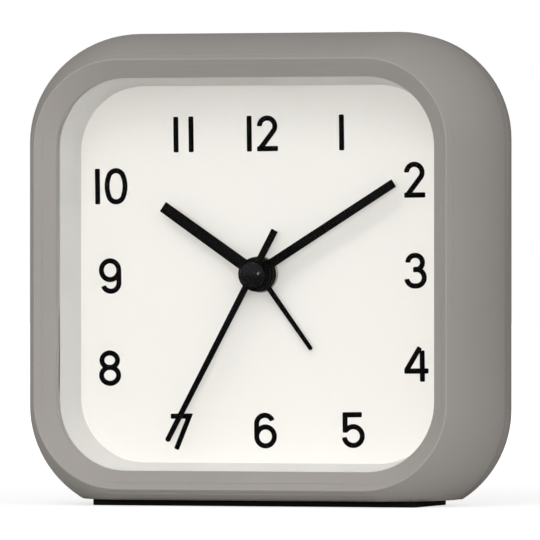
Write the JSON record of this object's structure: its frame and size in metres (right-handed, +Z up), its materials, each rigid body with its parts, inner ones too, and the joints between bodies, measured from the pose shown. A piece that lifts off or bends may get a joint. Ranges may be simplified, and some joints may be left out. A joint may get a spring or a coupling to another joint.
{
  "type": "desk alarm clock",
  "caption": "Small rounded square quartz alarm clock on a flat foot, with a funnel bezel, a recessed white dial, four hands, a geared movement and setting knobs and a battery door behind.",
  "frame": {"origin": "centre of the bounding box on the plane of the foot pad's underside", "axes": "+Z up, the dial faces -Y, +X to the right of someone who looks at the dial"},
  "size_m": [0.0974, 0.037, 0.0953],
  "materials": {
    "grey_shell": "fine matt moulded plastic, warm grey",
    "pad_rubber": "black soft rubber",
    "clear_lens": "clear polished sheet",
    "white_ring": "matt white moulded plastic",
    "dial_face": "matt white printed sheet",
    "black_hands": "matt black paint",
    "second_paint": "matt paint",
    "alarm_paint": "matt paint",
    "movement_frame": "matt moulded plastic",
    "bobbin_plastic": "natural moulded plastic",
    "wheel_plastic": "natural moulded gear plastic",
    "steel": "bright steel",
    "winding": "enamelled copper wire",
    "board": "green lacquered board",
    "chip_resin": "black resin",
    "can_metal": "drawn metal can",
    "cell_jacket": "plain dark jacket, no print",
    "sounder_can": "black moulded can",
    "knob_plastic": "matt moulded plastic, dark grey"
  },
  "bodies": {
    "root": {"case_front": "grey_shell", "case_back": "grey_shell", "base_pad": "pad_rubber", "lens": "clear_lens", "dial_ring": "white_ring", "dial": "dial_face", "movement_plate": "movement_frame", "middle_plate": "movement_frame", "movement_housing": "movement_frame", "stator": "steel", "coil_bobbin": "bobbin_plastic", "coil_winding": "winding", "circuit_board": "board", "chip": "chip_resin", "crystal": "can_metal", "alarm_contact": "steel", "battery": "cell_jacket", "contact_plus": "steel", "contact_spring": "steel", "sounder": "sounder_can", "case_screws": "steel", "ring_screws": "steel", "movement_screws": "steel"},
    "seconds": {"second_wheel": "wheel_plastic", "second_hand": "second_paint"},
    "third": {"third_wheel": "wheel_plastic"},
    "centre": {"centre_wheel": "wheel_plastic"},
    "step": {"step_wheel": "wheel_plastic"},
    "rotor": {"rotor_pinion": "wheel_plastic", "rotor_magnet": "steel"},
    "minutes": {"cannon_pinion": "wheel_plastic", "minute_hand": "black_hands"},
    "time_setting": {"minute_wheel": "wheel_plastic", "time_set_knob": "knob_plastic"},
    "hours": {"hour_wheel": "wheel_plastic", "hour_hand": "black_hands"},
    "alarm": {"alarm_wheel": "wheel_plastic", "alarm_hand": "alarm_paint"},
    "alarm_setting": {"alarm_pinion": "wheel_plastic", "alarm_set_knob": "knob_plastic"},
    "switch": {"alarm_switch": "knob_plastic"},
    "door": {"battery_door": "grey_shell"}
  },
  "joints": [
    {"name": "seconds_spin", "type": "hinge", "parent": "root", "child": "seconds", "pos_m": [0, 0, 0.04653], "axis": [0, 1, 0], "continuous": true},
    {"name": "third_spin", "type": "hinge", "parent": "root", "child": "third", "pos_m": [-0.00735, 0, 0.05388], "axis": [0, 1, 0], "continuous": true},
    {"name": "centre_spin", "type": "hinge", "parent": "root", "child": "centre", "pos_m": [0, 0, 0.04653], "axis": [0, 1, 0], "continuous": true},
    {"name": "step_spin", "type": "hinge", "parent": "root", "child": "step", "pos_m": [0.0075, 0, 0.05403], "axis": [0, 1, 0], "continuous": true},
    {"name": "rotor_spin", "type": "hinge", "parent": "root", "child": "rotor", "pos_m": [0.01534, 0, 0.05403], "axis": [0, 1, 0], "continuous": true},
    {"name": "minutes_spin", "type": "hinge", "parent": "root", "child": "minutes", "pos_m": [0, 0, 0.04653], "axis": [0, 1, 0], "continuous": true},
    {"name": "time_setting_spin", "type": "hinge", "parent": "root", "child": "time_setting", "pos_m": [-0.0095, 0, 0.03988], "axis": [0, 1, 0], "continuous": true},
    {"name": "hours_spin", "type": "hinge", "parent": "root", "child": "hours", "pos_m": [0, 0, 0.04653], "axis": [0, 1, 0], "continuous": true},
    {"name": "alarm_spin", "type": "hinge", "parent": "root", "child": "alarm", "pos_m": [0, 0, 0.04653], "axis": [0, 1, 0], "continuous": true},
    {"name": "alarm_setting_spin", "type": "hinge", "parent": "root", "child": "alarm_setting", "pos_m": [0.0095, 0, 0.03988], "axis": [0, 1, 0], "continuous": true},
    {"name": "switch_slide", "type": "slide", "parent": "root", "child": "switch", "axis": [1, 0, 0], "range_m": [0, 0.005]},
    {"name": "door_hinge", "type": "hinge", "parent": "root", "child": "door", "pos_m": [0, 0.0175, 0.00793], "axis": [-1, 0, 0], "range_deg": [0, 80]}
  ],
  "couplings": [
    {"joint": "third_spin", "follows": "seconds_spin", "ratio": -0.13333},
    {"joint": "centre_spin", "follows": "seconds_spin", "ratio": 0.016667},
    {"joint": "step_spin", "follows": "seconds_spin", "ratio": -5},
    {"joint": "rotor_spin", "follows": "seconds_spin", "ratio": 30},
    {"joint": "time_setting_spin", "follows": "minutes_spin", "ratio": -0.33333},
    {"joint": "hours_spin", "follows": "minutes_spin", "ratio": 0.083333},
    {"joint": "alarm_setting_spin", "follows": "alarm_spin", "ratio": -3}
  ]
}
